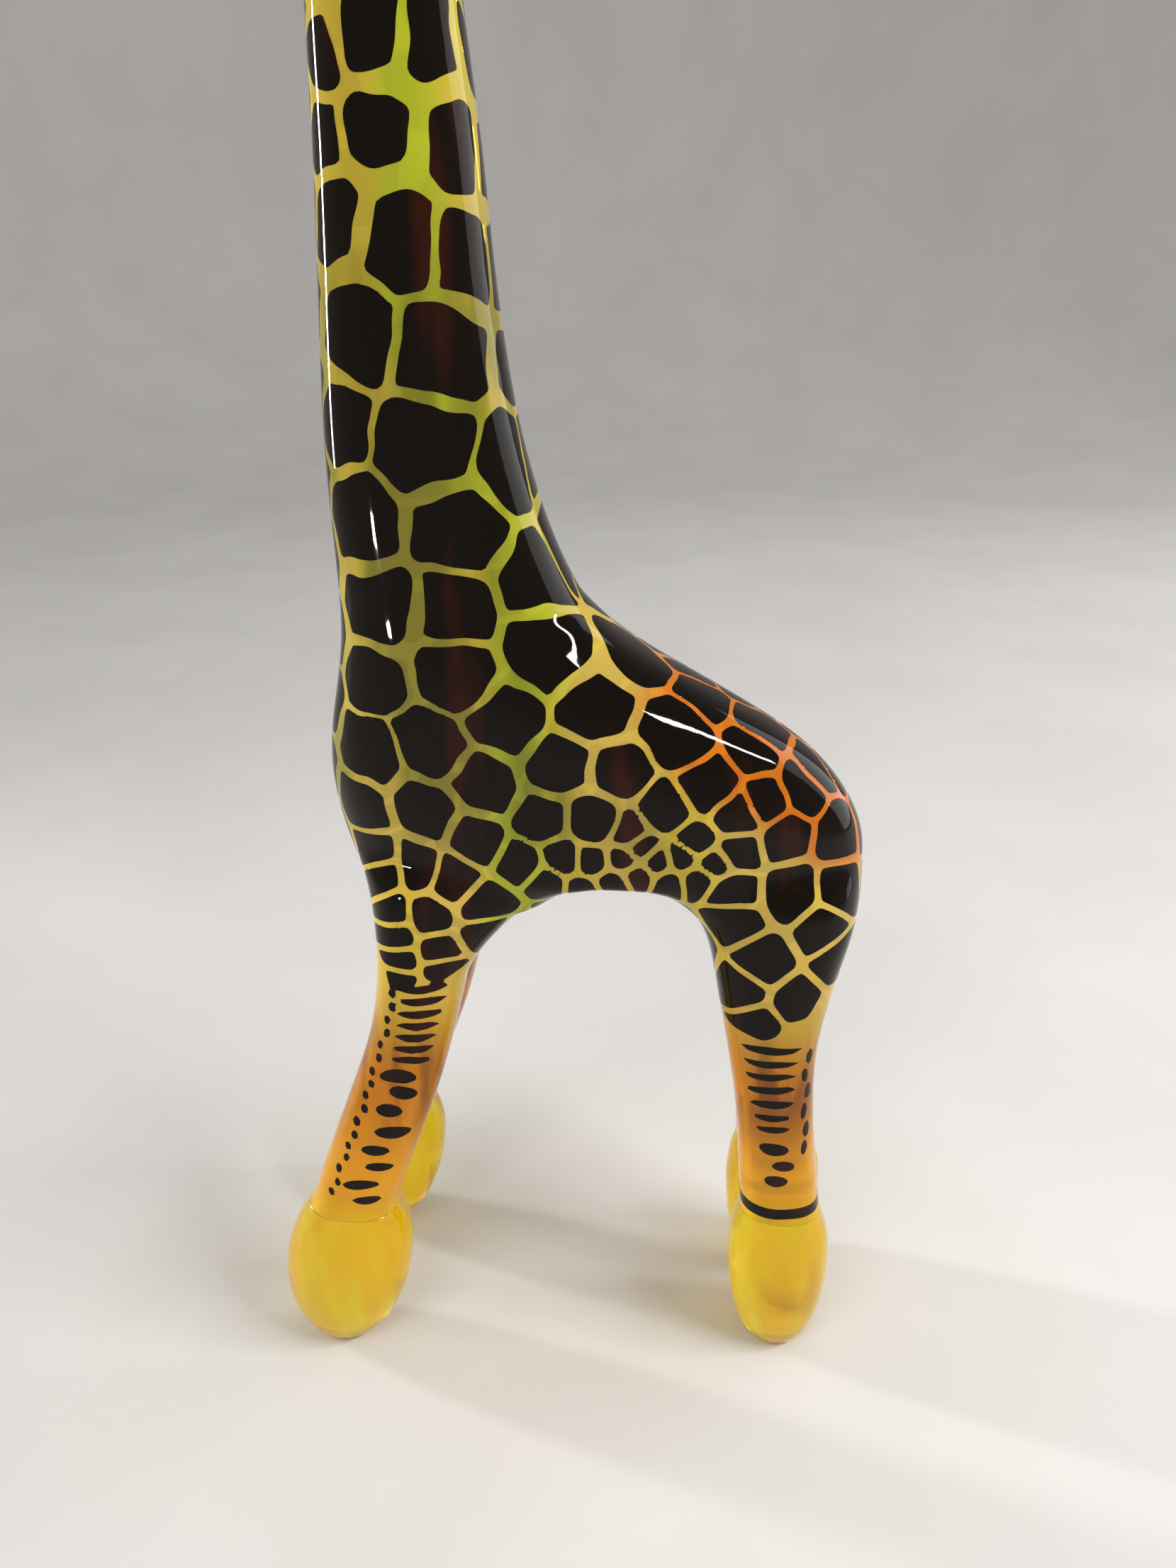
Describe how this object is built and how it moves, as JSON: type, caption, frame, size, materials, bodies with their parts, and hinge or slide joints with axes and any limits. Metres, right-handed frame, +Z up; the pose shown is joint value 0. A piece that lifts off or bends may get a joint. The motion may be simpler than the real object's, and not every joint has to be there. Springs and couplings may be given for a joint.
{
  "type": "glass giraffe statue",
  "caption": "Free-standing long-necked giraffe figurine in amber glass with black patch overlay, resting on flat-soled hooves.",
  "frame": {"origin": "on the ground under the middle of the figure's length and width", "axes": "+Z up along the neck, -X the way the figure faces, +Y its right-hand side"},
  "size_m": [0.1681, 0.0782, 0.4591],
  "materials": {
    "amber_glass": "fire-polished",
    "orange_glass": "fire-polished",
    "yellow_glass": "fire-polished",
    "black_glass": "gloss"
  },
  "bodies": {
    "root": {"torso": "amber_glass", "neck": "amber_glass", "head": "amber_glass", "front_leg_right": "orange_glass", "front_leg_left": "orange_glass", "hind_leg_right": "orange_glass", "hind_leg_left": "orange_glass", "front_hoof_right": "yellow_glass", "front_hoof_left": "yellow_glass", "hind_hoof_right": "yellow_glass", "hind_hoof_left": "yellow_glass", "ear_right": "amber_glass", "ear_left": "amber_glass", "ossicone_right": "black_glass", "ossicone_left": "black_glass", "eye_right": "black_glass", "eye_left": "black_glass"}
  },
  "joints": []
}
